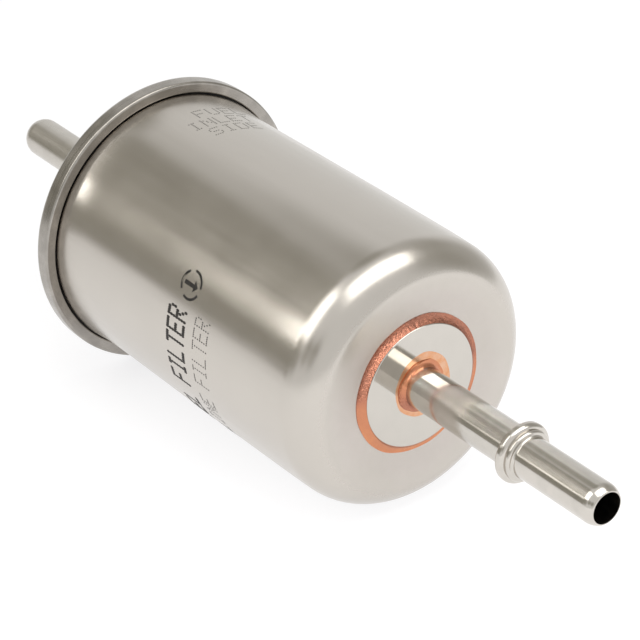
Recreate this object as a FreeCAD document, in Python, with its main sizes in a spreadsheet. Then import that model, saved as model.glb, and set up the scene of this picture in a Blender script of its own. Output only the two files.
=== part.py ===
import FreeCAD, Part

import math
import os

import Sketcher

# Inline fuel filter, millimetres.  +X runs along the filter's axis towards the outlet, +Z is up, and the
# origin is on the axis, halfway along the straight wall of the can, where a band clamp holds the filter.

SHEET_NAME = "Sizes"

DRIVING_SIZES = {
    # can: one deep drawn steel shell
    "can_radius": 26.35,
    "can_sheet": 0.75,
    "land_length": 70.5,  # straight wall between the rim and the front shoulder
    "shoulder_bend": 7.6,
    "shoulder_lean": 28.0,  # degrees off the axis where the shoulder passes into the tighter crest
    "crest_bend": 3.0,
    "panel_slope": 7.0,  # degrees by which the end panel sinks towards its middle
    "panel_flat_radius": 14.2,  # flat ring round the hole, which the braze lies on
    # rolled double seam that makes the rim
    "rim_radius": 29.1,
    "rim_width": 3.8,
    "rim_back_round": 1.2,
    "rim_front_round": 1.16,
    "cover_sheet": 0.75,
    "cover_recess": 5.55,  # from the rim's back plane in to the cover's panel
    "cover_bend": 1.2,
    "seam_gap": 0.06,
    "body_hook_end": 2.5,
    "cover_hook_end": 2.35,
    "sealant_gap": 0.02,
    "neck_clear": 0.3,  # the seaming roll's mark on the wall ends this far in front of the rim
    "neck_squeeze": 0.08,
    # raised plates in both end panels
    "plate_radius": 12.1,
    "plate_rise": 1.1,
    "plate_edge": 0.2,
    "boss_radius": 10.5,  # the plate's spigot, which fills the hole in the panel
    "plate_braze_width": 1.75,
    "braze_edge": 0.12,
    "plate_braze_hollow": 1.9,
    # tubes: quick connect spigots with a formed bead
    "tube_radius": 3.945,
    "tube_bore": 3.0,
    "tube_reach": 48.95,  # from the plate's outer face to the tip
    "tube_stub": 9.0,  # from the plate's inner face to the inner end
    "stub_chamfer": 0.4,
    "bead_start": 26.8,
    "bead_radius": 5.77,
    "bead_root": 0.25,
    "bead_back_round": 0.4,
    "bead_crest": 0.45,
    "bead_front_round": 0.85,
    "bead_step": 0.4,
    "bead_step_round": 0.5,
    "bead_foot": 0.475,
    "tip_taper": 1.95,
    "tip_drop": 0.62,
    "tip_lip": 0.15,
    "tip_lip_round": 0.4,
    "tube_braze_width": 1.3,
    "tube_braze_height": 0.7,
    "tube_braze_hollow": 1.25,
    # filter element
    "spring_space": 13.6,  # from the cover's inner face to the closed cap
    "seat_play": 0.05,  # between the grommet and the outlet plate at rest
    "cap_radius": 23.0,
    "cap_sheet": 0.5,
    "cap_depth": 3.6,
    "cap_bend": 0.8,
    "dimple_height": 1.2,
    "dimple_radius": 5.2,
    "dimple_slope": 0.8,
    "neck_radius": 6.2,
    "neck_length": 5.0,
    "bond_depth": 2.2,
    "bond_bore": 7.05,
    "core_radius": 7.7,
    "core_wall": 0.5,
    "core_hole_radius": 1.5,
    "core_hole_pitch": 6.2,
    "pleat_inner_radius": 9.0,
    "pleat_outer_radius": 21.4,
    "paper_thickness": 0.45,
    "clip_sheet": 0.3,
    "clip_half_width": 0.85,
    "clip_reach": 4.6,
    # grommet
    "grommet_flange": 2.4,
    "grommet_flange_radius": 9.4,
    "grommet_play": 0.05,
    "grommet_lip_length": 1.0,
    "grommet_lip_radius": 6.9,
    "grommet_relief": 0.6,
    "grommet_land": 1.6,
    # spring and its seat
    "wire_radius": 0.7,
    "coil_radius": 6.5,
    "spring_play": 0.05,
    "washer_radius": 11.5,
    "washer_bore": 4.3,
    "washer_sheet": 0.8,
    "collar_height": 2.4,
}

PLEATS = 40
PLEAT_FOLD_HALF_WIDTH = 0.35
PLEAT_CREST_HALF_WIDTH = 0.5
CORE_HOLES_ROUND = 6
CORE_HOLES_IN_A_ROW = 8
SPRING_TURNS = 4
TOP_ANGLE = math.pi / 2


class Size:
    """A length that carries its value and the sheet expression that it stands for."""

    def __init__(self, value, text):
        self.value = value
        self.text = text

    def __add__(self, other):
        other = as_size(other)
        return Size(self.value + other.value, f"({self.text} + {other.text})")

    def __sub__(self, other):
        other = as_size(other)
        return Size(self.value - other.value, f"({self.text} - {other.text})")

    def __mul__(self, other):
        other = as_size(other)
        return Size(self.value * other.value, f"{self.text} * {other.text}")

    def __truediv__(self, other):
        other = as_size(other)
        return Size(self.value / other.value, f"({self.text} / ({other.text}))")

    def __neg__(self):
        return Size(-self.value, f"(0 - {self.text})")

    def sine(self):
        return Size(math.sin(math.radians(self.value)), f"sin({self.text})")

    def cosine(self):
        return Size(math.cos(math.radians(self.value)), f"cos({self.text})")


def as_size(number):
    """A Size as it is, and a plain number as a Size."""
    if isinstance(number, Size):
        return number
    return Size(float(number), repr(float(number)))


def write_sheet(document):
    """The spreadsheet of driving sizes, and a name space of Sizes that read its cells."""
    sheet = document.addObject("Spreadsheet::Sheet", SHEET_NAME)
    sizes = {}
    for row, (alias, value) in enumerate(DRIVING_SIZES.items(), start=1):
        sheet.set(f"A{row}", alias)
        sheet.set(f"B{row}", str(value))
        sheet.setAlias(f"B{row}", alias)
        sizes[alias] = Size(value, f"{SHEET_NAME}.{alias}")
    document.recompute()
    return sizes


def origin_plane(body, role):
    """One of the body's own origin planes, such as XZ_Plane."""
    return next(feature for feature in body.Origin.OriginFeatures if feature.Role == role)


def new_sketch(body, name, role):
    """An empty sketch on one of the body's origin planes."""
    sketch = body.newObject("Sketcher::SketchObject", name)
    sketch.AttachmentSupport = [(origin_plane(body, role), "")]
    sketch.MapMode = "FlatFace"
    return sketch


def arc_between(start, end, radius):
    """The short arc from start to end: it turns left for a positive radius and right for a negative one."""
    chord = end - start
    middle = (start + end) * 0.5
    left = FreeCAD.Vector(-chord.y, chord.x, 0).normalize()
    reach = math.sqrt(max(radius * radius - chord.Length ** 2 / 4, 0))
    centre = middle + left * math.copysign(reach, radius)
    first, last = (start, end) if radius > 0 else (end, start)
    circle = Part.Circle(centre, FreeCAD.Vector(0, 0, 1), abs(radius))
    first_angle = math.atan2(first.y - centre.y, first.x - centre.x)
    last_angle = math.atan2(last.y - centre.y, last.x - centre.x)
    return Part.ArcOfCircle(circle, first_angle, last_angle)


def pin_point(sketch, curve, point, across, up):
    """Holds one end of a curve at its two sheet sizes from the sketch's origin."""
    for kind, size in (("DistanceX", across), ("DistanceY", up)):
        index = sketch.addConstraint(Sketcher.Constraint(kind, -1, 1, curve, point, size.value))
        sketch.setExpression(f"Constraints[{index}]", size.text)


def draw_outline(sketch, steps):
    """A closed outline.  Each step is (across, up) for a straight run that ends there, or
    (across, up, radius) for an arc that ends there.  The first step is where the outline starts."""
    corners = [(as_size(step[0]), as_size(step[1])) for step in steps]
    points = [FreeCAD.Vector(across.value, up.value, 0) for across, up in corners]
    bends = [as_size(step[2]) if len(step) == 3 else None for step in steps]
    ends = []
    for number in range(len(steps)):
        following = (number + 1) % len(steps)
        bend = bends[following]
        if bend is None:
            curve = sketch.addGeometry(Part.LineSegment(points[number], points[following]))
            ends.append((curve, 1, 2))
            continue
        curve = sketch.addGeometry(arc_between(points[number], points[following], bend.value))
        ends.append((curve, 1, 2) if bend.value > 0 else (curve, 2, 1))
        sign = "" if bend.value > 0 else "-"
        index = sketch.addConstraint(Sketcher.Constraint("Radius", curve, abs(bend.value)))
        sketch.setExpression(f"Constraints[{index}]", f"{sign}({bend.text})")
    for number, (curve, start, end) in enumerate(ends):
        next_curve, next_start, _ = ends[(number + 1) % len(ends)]
        sketch.addConstraint(Sketcher.Constraint("Coincident", curve, end, next_curve, next_start))
        pin_point(sketch, curve, start, *corners[number])


def draw_circle(sketch, radius, across=0, up=0):
    """A circle whose radius and centre are held by the sheet."""
    across = as_size(across)
    up = as_size(up)
    centre = FreeCAD.Vector(across.value, up.value, 0)
    curve = sketch.addGeometry(Part.Circle(centre, FreeCAD.Vector(0, 0, 1), radius.value))
    index = sketch.addConstraint(Sketcher.Constraint("Radius", curve, radius.value))
    sketch.setExpression(f"Constraints[{index}]", radius.text)
    pin_point(sketch, curve, 3, across, up)


def new_body(document, label):
    body = document.addObject("PartDesign::Body", label)
    body.Label = label
    return body


def turned(document, label, steps):
    """A body turned round the X axis from an outline of (along the axis, radius) steps."""
    body = new_body(document, label)
    sketch = new_sketch(body, f"{label}_outline", "XZ_Plane")
    draw_outline(sketch, steps)
    turning = body.newObject("PartDesign::Revolution", f"{label}_turned")
    turning.Profile = sketch
    turning.ReferenceAxis = (sketch, ["H_Axis"])
    turning.Angle = 360
    return body


def place(sub_part, along, flipped=False):
    """Puts a sub-part at its place on the axis, turned round to face the inlet if it is flipped."""
    angle = 180 if flipped else 0
    turn = FreeCAD.Rotation(FreeCAD.Vector(0, 0, 1), angle)
    sub_part.Placement = FreeCAD.Placement(FreeCAD.Vector(along.value, 0, 0), turn)
    sub_part.setExpression("Placement.Base.x", along.text)


class Layout:
    """Sizes and places on the axis that several sub-parts share, worked out from the sheet."""

    def __init__(self, size):
        self.rim_back = -(size["land_length"] / 2 + size["rim_width"])
        # the can's end: where its bends have their middles, and where its panel is flat
        self.shoulder = size["rim_width"] + size["land_length"]
        self.shoulder_middle = size["can_radius"] - size["shoulder_bend"]
        inward = size["shoulder_bend"] - size["crest_bend"]
        self.crest = self.shoulder + inward * size["shoulder_lean"].cosine()
        self.crest_middle = self.shoulder_middle + inward * size["shoulder_lean"].sine()
        slope = size["panel_slope"]
        sloping_from = self.crest_middle - size["crest_bend"] * slope.sine()
        fall = (sloping_from - size["panel_flat_radius"]) * slope.sine() / slope.cosine()
        self.panel = self.crest + size["crest_bend"] * slope.cosine() - fall
        self.can_bore = size["can_radius"] - size["can_sheet"]
        self.hook_outside = size["rim_radius"] - size["cover_sheet"] - size["seam_gap"]
        self.hook_inside = self.hook_outside - size["can_sheet"]
        self.curl_bend = (self.hook_outside - self.can_bore) / 2
        self.curl_middle = self.can_bore + self.curl_bend
        self.curl_along = size["cover_sheet"] + size["seam_gap"] + self.curl_bend
        self.plate_depth = size["plate_rise"] + size["can_sheet"]
        # places in the filter's own frame
        self.outlet_face = self.rim_back + self.panel + size["plate_rise"]
        self.outlet_inside = self.outlet_face - self.plate_depth
        self.inlet_face = self.rim_back + size["cover_recess"] - size["plate_rise"]
        self.inlet_inside = self.inlet_face + self.plate_depth
        self.closed_cap = self.inlet_inside + size["spring_space"]
        self.open_cap = self.outlet_inside - size["seat_play"] - size["grommet_flange"]
        self.media_start = self.closed_cap + size["cap_sheet"] + size["bond_depth"]
        self.media_end = self.open_cap - size["cap_sheet"] - size["bond_depth"]
        self.media_length = self.media_end - self.media_start


def make_can(document, size, layout):
    """Drawn can: curled hook at the open end, straight wall, round shoulder, sinking end panel with a hole."""
    sheet = size["can_sheet"]
    shoulder_bend = size["shoulder_bend"]
    crest_bend = size["crest_bend"]
    lean = size["shoulder_lean"]
    slope = size["panel_slope"]
    flat = size["panel_flat_radius"]
    small_bend = layout.curl_bend - sheet
    neck_along = size["rim_width"] + size["neck_clear"]

    def on_shoulder(bend):
        return layout.shoulder + bend * lean.cosine(), layout.shoulder_middle + bend * lean.sine()

    def off_crest(bend):
        return layout.crest + bend * slope.cosine(), layout.crest_middle - bend * slope.sine()

    steps = [
        (size["body_hook_end"], layout.hook_outside),
        (layout.curl_along, layout.hook_outside),
        (layout.curl_along - layout.curl_bend, layout.curl_middle, layout.curl_bend),
        (layout.curl_along, layout.can_bore, layout.curl_bend),
        (layout.shoulder, layout.can_bore),
        (*on_shoulder(shoulder_bend - sheet), sheet - shoulder_bend),
        (*off_crest(crest_bend - sheet), sheet - crest_bend),
        (layout.panel - sheet, flat),
        (layout.panel - sheet, size["boss_radius"]),
        (layout.panel, size["boss_radius"]),
        (layout.panel, flat),
        off_crest(crest_bend),
        (*on_shoulder(shoulder_bend), crest_bend),
        (layout.shoulder, size["can_radius"], shoulder_bend),
        (neck_along, size["can_radius"]),
        ((neck_along + layout.curl_along) / 2, size["can_radius"] - size["neck_squeeze"]),
        (layout.curl_along, size["can_radius"]),
        (layout.curl_along - small_bend, layout.curl_middle, -small_bend),
        (layout.curl_along, layout.hook_inside, -small_bend),
        (size["body_hook_end"], layout.hook_inside),
    ]
    body = turned(document, "can", steps)
    place(body, layout.rim_back)
    return body


def make_end_cover(document, size, layout):
    """Pressed cover: panel with a hole, wall that plugs the can, and an edge rolled round the can's hook."""
    sheet = size["cover_sheet"]
    bend = size["cover_bend"]
    recess = size["cover_recess"]
    back = size["rim_back_round"]
    front = size["rim_front_round"]
    rim = size["rim_radius"]
    wall_outside = layout.can_bore - size["seam_gap"]
    wall_inside = wall_outside - sheet
    front_along = size["rim_width"] - front
    hook_radius = rim - front * 2
    steps = [
        (recess, size["boss_radius"]),
        (recess, wall_inside - bend),
        (recess - bend, wall_inside, bend),
        (back, wall_inside),
        (0, wall_inside + back, -back),
        (0, rim - back),
        (back, rim, -back),
        (front_along, rim),
        (size["rim_width"], rim - front, -front),
        (front_along, hook_radius, -front),
        (size["cover_hook_end"], hook_radius),
        (size["cover_hook_end"], hook_radius + sheet),
        (front_along, hook_radius + sheet),
        (size["rim_width"] - sheet, rim - front, front - sheet),
        (front_along, rim - sheet, front - sheet),
        (back, rim - sheet),
        (sheet, rim - back, back - sheet),
        (sheet, wall_inside + back),
        (back, wall_outside, back - sheet),
        (recess - bend, wall_outside),
        (recess + sheet, wall_inside - bend, -(bend + sheet)),
        (recess + sheet, size["boss_radius"]),
    ]
    body = turned(document, "end_cover", steps)
    place(body, layout.rim_back)
    return body


def make_seam_sealant(document, size, layout):
    """Ring of sealing compound in the loop of the can's curl, on the end of the cover's hook."""
    bend = layout.curl_bend - size["can_sheet"] - size["sealant_gap"]
    end = size["cover_hook_end"] - size["sealant_gap"]
    steps = [
        (end, layout.curl_middle - bend),
        (layout.curl_along, layout.curl_middle - bend),
        (layout.curl_along - bend, layout.curl_middle, -bend),
        (layout.curl_along, layout.curl_middle + bend, -bend),
        (end, layout.curl_middle + bend),
    ]
    body = turned(document, "seam_sealant", steps)
    place(body, layout.rim_back)
    return body


def make_plate(document, size, layout, label, along, flipped):
    """Round plate: a disc outside the panel, a spigot through it, and a hole for the tube."""
    edge = size["plate_edge"]
    steps = [
        (0, size["tube_radius"]),
        (0, size["plate_radius"] - edge),
        (-edge, size["plate_radius"], edge),
        (-size["plate_rise"], size["plate_radius"]),
        (-size["plate_rise"], size["boss_radius"]),
        (-layout.plate_depth, size["boss_radius"]),
        (-layout.plate_depth, size["tube_radius"]),
    ]
    body = turned(document, label, steps)
    place(body, along, flipped)
    return body


def make_plate_braze(document, size, label, along, flipped):
    """Hollow copper fillet between the plate's edge and the panel."""
    outer = size["plate_radius"] + size["plate_braze_width"]
    steps = [
        (-size["plate_rise"], size["plate_radius"]),
        (-size["plate_edge"], size["plate_radius"]),
        (size["braze_edge"] - size["plate_rise"], outer, -size["plate_braze_hollow"]),
        (-size["plate_rise"], outer),
    ]
    body = turned(document, label, steps)
    place(body, along, flipped)
    return body


def make_tube(document, size, layout, label, along, flipped):
    """Tube through a plate: chamfered inner stub, stepped bead, tapered tip with a round lip, plain bore."""
    outside = size["tube_radius"]
    inner_end = -(layout.plate_depth + size["tube_stub"])
    chamfer = size["stub_chamfer"]
    root = size["bead_root"]
    back = size["bead_back_round"]
    crest_end = size["bead_start"] + back + size["bead_crest"]
    step_radius = size["bead_radius"] - size["bead_front_round"]
    step_start = crest_end + size["bead_front_round"]
    step_end = step_start + size["bead_step"]
    foot_radius = step_radius - size["bead_step_round"]
    foot_start = step_end + size["bead_step_round"]
    foot_end = foot_start + size["bead_foot"]
    taper_start = size["tube_reach"] - size["tip_lip"] - size["tip_taper"]
    taper_end = size["tube_reach"] - size["tip_lip"]
    drop = size["tip_drop"]
    taper_bend = (size["tip_taper"] * size["tip_taper"] + drop * drop) / (drop * 2)
    steps = [
        (inner_end, size["tube_bore"]),
        (inner_end, outside - chamfer),
        (inner_end + chamfer, outside),
        (size["bead_start"] - root, outside),
        (size["bead_start"], outside + root, root),
        (size["bead_start"], size["bead_radius"] - back),
        (size["bead_start"] + back, size["bead_radius"], -back),
        (crest_end, size["bead_radius"]),
        (step_start, step_radius, -size["bead_front_round"]),
        (step_end, step_radius),
        (foot_start, foot_radius, -size["bead_step_round"]),
        (foot_end, outside, foot_radius - outside),
        (taper_start, outside),
        (taper_end, outside - drop, -taper_bend),
        (size["tube_reach"], size["tube_bore"], -size["tip_lip_round"]),
    ]
    body = turned(document, label, steps)
    place(body, along, flipped)
    return body


def make_tube_braze(document, size, label, along, flipped):
    """Hollow copper fillet at the foot of a tube, on the plate's outer face."""
    outer = size["tube_radius"] + size["tube_braze_width"]
    steps = [
        (0, size["tube_radius"]),
        (size["tube_braze_height"], size["tube_radius"]),
        (size["braze_edge"], outer, -size["tube_braze_hollow"]),
        (0, outer),
    ]
    body = turned(document, label, steps)
    place(body, along, flipped)
    return body


def make_closed_end_cap(document, size, layout):
    """Pressed cap with a dimple that keeps the spring in the middle."""
    sheet = size["cap_sheet"]
    bend = size["cap_bend"]
    radius = size["cap_radius"]
    top = -size["dimple_height"]
    flat = size["dimple_radius"] - size["dimple_slope"]
    steps = [
        (top, 0),
        (top, flat),
        (0, size["dimple_radius"]),
        (0, radius - bend),
        (bend, radius, -bend),
        (size["cap_depth"], radius),
        (size["cap_depth"], radius - sheet),
        (bend, radius - sheet),
        (sheet, radius - bend, bend - sheet),
        (sheet, size["dimple_radius"]),
        (top + sheet, flat),
        (top + sheet, 0),
    ]
    body = turned(document, "closed_end_cap", steps)
    place(body, layout.closed_cap)
    return body


def make_open_end_cap(document, size, layout):
    """Pressed cap with a neck turned inwards for the grommet."""
    sheet = size["cap_sheet"]
    bend = size["cap_bend"]
    radius = size["cap_radius"]
    neck = size["neck_radius"]
    steps = [
        (size["neck_length"], neck),
        (bend, neck),
        (0, neck + bend, -bend),
        (0, radius - bend),
        (bend, radius, -bend),
        (size["cap_depth"], radius),
        (size["cap_depth"], radius - sheet),
        (bend, radius - sheet),
        (sheet, radius - bend, bend - sheet),
        (sheet, neck + bend),
        (bend, neck + sheet, bend - sheet),
        (size["neck_length"], neck + sheet),
    ]
    body = turned(document, "open_end_cap", steps)
    place(body, layout.open_cap, flipped=True)
    return body


def make_cap_bond(document, size, label, along, flipped):
    """Bed of adhesive in an end cap, which the paper and the core stand on."""
    start = size["cap_sheet"]
    end = start + size["bond_depth"]
    outer = size["cap_radius"] - size["cap_sheet"]
    corner = size["cap_bend"] - size["cap_sheet"]
    steps = [
        (start, size["bond_bore"]),
        (start, outer - corner),
        (start + corner, outer, -corner),
        (end, outer),
        (end, size["bond_bore"]),
    ]
    body = turned(document, label, steps)
    place(body, along, flipped)
    return body


def make_outlet_grommet(document, size, layout):
    """Rubber grommet: flange on the cap, body in the neck, retaining lip, two sealing lands in the bore."""
    bore = size["tube_radius"] + size["grommet_play"]
    relief = bore + size["grommet_relief"]
    slope = size["grommet_relief"]
    land = size["grommet_land"]
    front = -size["grommet_flange"]
    neck_end = size["neck_length"]
    back = neck_end + size["grommet_lip_length"]
    steps = [
        (front, bore),
        (front, size["grommet_flange_radius"]),
        (0, size["grommet_flange_radius"]),
        (0, size["neck_radius"]),
        (neck_end, size["neck_radius"]),
        (neck_end, size["grommet_lip_radius"]),
        (back, size["neck_radius"]),
        (back, bore),
        (back - land, bore),
        (back - land - slope, relief),
        (front + land + slope, relief),
        (front + land, bore),
    ]
    body = turned(document, "outlet_grommet", steps)
    place(body, layout.open_cap, flipped=True)
    return body


def make_spring_seat(document, size, layout):
    """Pressed washer on the inside of the cover, with a collar that centres the spring."""
    sheet = size["washer_sheet"]
    bore = size["washer_bore"]
    steps = [
        (0, bore),
        (0, size["washer_radius"]),
        (sheet, size["washer_radius"]),
        (sheet, bore + sheet),
        (size["collar_height"], bore + sheet),
        (size["collar_height"], bore),
    ]
    body = turned(document, "spring_seat", steps)
    place(body, layout.inlet_inside)
    return body


def make_element_spring(document, size, layout):
    """Open coil of round wire between its seat and the closed cap."""
    wire = size["wire_radius"]
    free_space = size["spring_space"] - size["washer_sheet"] - size["spring_play"] * 2
    rise = free_space - wire * 2
    body = new_body(document, "element_spring")
    sketch = new_sketch(body, "wire_section", "XZ_Plane")
    draw_circle(sketch, wire, 0, size["coil_radius"])
    coil = body.newObject("PartDesign::AdditiveHelix", "coil")
    coil.Profile = sketch
    coil.ReferenceAxis = (sketch, ["H_Axis"])
    coil.Mode = "height-turns-angle"
    coil.Turns = SPRING_TURNS
    coil.setExpression("Height", rise.text)
    start = layout.inlet_inside + size["washer_sheet"] + size["spring_play"] + wire
    place(body, start)
    return body


def make_centre_tube(document, size, layout):
    """Steel core with staggered rows of round holes."""
    body = new_body(document, "centre_tube")
    section = new_sketch(body, "core_section", "YZ_Plane")
    draw_circle(section, size["core_radius"])
    draw_circle(section, size["core_radius"] - size["core_wall"])
    wall = body.newObject("PartDesign::Pad", "core_wall_pad")
    wall.Profile = section
    wall.setExpression("Length", layout.media_length.text)
    row_length = size["core_hole_pitch"] * (CORE_HOLES_IN_A_ROW - 1)
    first = (layout.media_length - row_length) / 2
    rows = (("XZ_Plane", 0, CORE_HOLES_IN_A_ROW), ("XY_Plane", 0.5, CORE_HOLES_IN_A_ROW - 1))
    for role, stagger, count in rows:
        sketch = new_sketch(body, f"holes_{role[:2]}", role)
        for number in range(count):
            draw_circle(sketch, size["core_hole_radius"], first + size["core_hole_pitch"] * (number + stagger))
        holes = body.newObject("PartDesign::Pocket", f"row_{role[:2]}")
        holes.Profile = sketch
        holes.setExpression("Length", f"{SHEET_NAME}.core_radius * 2")
        round_pattern = body.newObject("PartDesign::PolarPattern", f"round_{role[:2]}")
        round_pattern.Originals = [holes]
        round_pattern.Axis = (section, ["N_Axis"])
        round_pattern.Angle = 360
        round_pattern.Occurrences = CORE_HOLES_ROUND
        body.Tip = round_pattern
    place(body, layout.media_start)
    return body


def make_media_seam_clip(document, size, layout):
    """Folded strip over the two free ends of the pleated paper, along the top of the element."""
    sheet = size["clip_sheet"]
    half = size["clip_half_width"]
    top = size["pleat_outer_radius"] + sheet * 2
    bottom = top - size["clip_reach"]
    steps = [
        (half, bottom),
        (half, top),
        (-half, top),
        (-half, bottom),
        (sheet - half, bottom),
        (sheet - half, top - sheet),
        (half - sheet, top - sheet),
        (half - sheet, bottom),
    ]
    body = new_body(document, "media_seam_clip")
    sketch = new_sketch(body, "clip_section", "YZ_Plane")
    draw_outline(sketch, steps)
    strip = body.newObject("PartDesign::Pad", "clip_strip")
    strip.Profile = sketch
    strip.setExpression("Length", layout.media_length.text)
    place(body, layout.media_start)
    return body


def pleat_line(inner, outer, paper):
    """Middle line of the folded paper, from one free end over all the pleats to the other free end."""
    step = 2 * math.pi / PLEATS
    fold = PLEAT_FOLD_HALF_WIDTH / inner
    crest = PLEAT_CREST_HALF_WIDTH / outer
    free_end = 0.6 * paper / outer
    corners = [(outer, free_end)]
    for pleat in range(PLEATS):
        middle = (pleat + 0.5) * step
        corners.append((inner, middle - fold))
        corners.append((inner, middle + fold))
        if pleat < PLEATS - 1:
            corners.append((outer, middle + 0.5 * step - crest))
            corners.append((outer, middle + 0.5 * step + crest))
    corners.append((outer, 2 * math.pi - free_end))
    line = []
    for radius, angle in corners:
        turn = TOP_ANGLE + angle
        line.append(FreeCAD.Vector(0, radius * math.cos(turn), radius * math.sin(turn)))
    return line


def beside(line, distance):
    """The line moved sideways by a distance, with its corners kept sharp."""
    axis = FreeCAD.Vector(1, 0, 0)
    sides = [axis.cross(after - before).normalize() for before, after in zip(line, line[1:])]
    moved = [line[0] + sides[0] * distance]
    for point, before, after in zip(line[1:-1], sides, sides[1:]):
        corner = before + after
        moved.append(point + corner * (distance * 2 / corner.dot(corner)))
    moved.append(line[-1] + sides[-1] * distance)
    return moved


def make_filter_media(document, size, layout):
    """Pleated paper star, open at the top where its two ends meet in the clip."""
    paper = size["paper_thickness"].value
    line = pleat_line(size["pleat_inner_radius"].value, size["pleat_outer_radius"].value, paper)
    edge = beside(line, paper / 2) + list(reversed(beside(line, -paper / 2)))
    section = Part.Face(Part.makePolygon(edge + edge[:1]))
    media = document.addObject("Part::Feature", "filter_media")
    media.Label = "filter_media"
    media.Shape = section.extrude(FreeCAD.Vector(layout.media_length.value, 0, 0))
    place(media, layout.media_start)
    return media


def build(document):
    """All sub-parts, from the outside in."""
    size = write_sheet(document)
    layout = Layout(size)
    sub_parts = [
        make_can(document, size, layout),
        make_end_cover(document, size, layout),
        make_seam_sealant(document, size, layout),
    ]
    for side, along, flipped in (("outlet", layout.outlet_face, False), ("inlet", layout.inlet_face, True)):
        sub_parts.append(make_plate(document, size, layout, f"{side}_plate", along, flipped))
        sub_parts.append(make_plate_braze(document, size, f"{side}_plate_braze", along, flipped))
        sub_parts.append(make_tube(document, size, layout, f"{side}_tube", along, flipped))
        sub_parts.append(make_tube_braze(document, size, f"{side}_tube_braze", along, flipped))
    sub_parts += [
        make_closed_end_cap(document, size, layout),
        make_open_end_cap(document, size, layout),
        make_cap_bond(document, size, "closed_cap_bond", layout.closed_cap, False),
        make_cap_bond(document, size, "open_cap_bond", layout.open_cap, True),
        make_filter_media(document, size, layout),
        make_media_seam_clip(document, size, layout),
        make_centre_tube(document, size, layout),
        make_outlet_grommet(document, size, layout),
        make_spring_seat(document, size, layout),
        make_element_spring(document, size, layout),
    ]
    document.recompute()
    return sub_parts


def check(document, sub_parts):
    """Stops the build if any object failed or any sub-part isn't one valid solid."""
    for item in document.Objects:
        if "Invalid" in item.State or "Error" in item.State:
            raise RuntimeError(f"{item.Label} failed: {item.State}")
    for sub_part in sub_parts:
        shape = sub_part.Shape
        if shape.isNull() or not shape.isValid() or len(shape.Solids) != 1 or shape.Volume <= 0:
            raise RuntimeError(f"{sub_part.Label} isn't a sound solid")


def main():
    document = FreeCAD.newDocument("fuel_filter")
    sub_parts = build(document)
    check(document, sub_parts)
    os.makedirs("parts", exist_ok=True)
    for sub_part in sub_parts:
        sub_part.Shape.exportStep(f"parts/{sub_part.Label}.step")
        box = sub_part.Shape.BoundBox
        print(
            f"{sub_part.Label:20s} x {box.XMin:8.2f} to {box.XMax:7.2f}"
            f"  radius {box.ZMax:6.2f}  volume {sub_part.Shape.Volume:9.1f}"
        )


main()
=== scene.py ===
import math

import bmesh
import bpy
import numpy as np
from mathutils import Matrix, Vector


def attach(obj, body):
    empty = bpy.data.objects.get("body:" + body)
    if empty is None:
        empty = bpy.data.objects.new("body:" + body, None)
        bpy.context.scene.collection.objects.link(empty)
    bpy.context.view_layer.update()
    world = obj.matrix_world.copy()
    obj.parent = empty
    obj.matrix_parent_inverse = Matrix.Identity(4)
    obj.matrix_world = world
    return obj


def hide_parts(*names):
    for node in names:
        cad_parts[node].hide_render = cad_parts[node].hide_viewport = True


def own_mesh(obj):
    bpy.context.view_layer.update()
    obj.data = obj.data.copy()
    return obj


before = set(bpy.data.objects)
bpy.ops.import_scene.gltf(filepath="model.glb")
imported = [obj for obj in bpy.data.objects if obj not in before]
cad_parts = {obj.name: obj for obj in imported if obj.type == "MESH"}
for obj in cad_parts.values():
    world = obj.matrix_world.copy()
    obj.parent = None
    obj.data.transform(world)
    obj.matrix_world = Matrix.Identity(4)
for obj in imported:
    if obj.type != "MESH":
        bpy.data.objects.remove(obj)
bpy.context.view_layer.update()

# Looks of an inline fuel filter.  +X runs along its axis towards the outlet and +Z is up.  Sizes are in
# millimetres and become metres when a mesh is made.  Angles round the axis run from +Z towards -Y.

MM = 0.001


def reach(node):
    """Lowest and highest place on the axis, and smallest and largest radius, of a CAD node."""
    points = np.array([v.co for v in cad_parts[node].data.vertices]) / MM
    radius = np.hypot(points[:, 1], points[:, 2])
    return points[:, 0].min(), points[:, 0].max(), radius.min(), radius.max()


# --- sizes read from the frame ---------------------------------------------------------------------------
RIM_BACK, _, BOSS_RADIUS, RIM_RADIUS = reach("end_cover")
_, OUTLET_FACE, TUBE_RADIUS, PLATE_RADIUS = reach("outlet_plate")
INLET_FACE, _, _, _ = reach("inlet_plate")
STUB_END, TUBE_TIP, TUBE_BORE, BEAD_RADIUS = reach("outlet_tube")
PLATE_BRAZE_FOOT, _, _, PLATE_BRAZE_RADIUS = reach("outlet_plate_braze")
_, TUBE_BRAZE_TOP, _, TUBE_BRAZE_RADIUS = reach("outlet_tube_braze")
COIL_START, COIL_END, _, COIL_OUTSIDE = reach("element_spring")

# --- sizes of the steel pressings -----------------------------------------------------------------------
SHEET = 0.75
CAN_RADIUS = 26.35
RIM_WIDTH = 3.8
RIM_BACK_ROUND = 1.2
RIM_FRONT_ROUND = 1.16
RIM_CORNER = 0.5
RIM_INNER_CORNER = 0.35
RIM_FACE_LEAN = 0.15
SEAM_GAP = 0.06
BODY_HOOK_END = 2.5
COVER_HOOK_END = 2.35
COVER_RECESS = 5.55
COVER_BEND = 1.2
SHOULDER_BEND = 7.6
SHOULDER_LEAN = math.radians(28)
CREST_BEND = 3.0
PANEL_SLOPE = math.radians(7)
PANEL_FLAT_RADIUS = 14.2
PLATE_EDGE = 0.2
PLATE_RISE = OUTLET_FACE - PLATE_BRAZE_FOOT
SHOULDER = -(RIM_BACK + RIM_WIDTH)  # where the straight wall ends, as far from the origin as the rim

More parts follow.
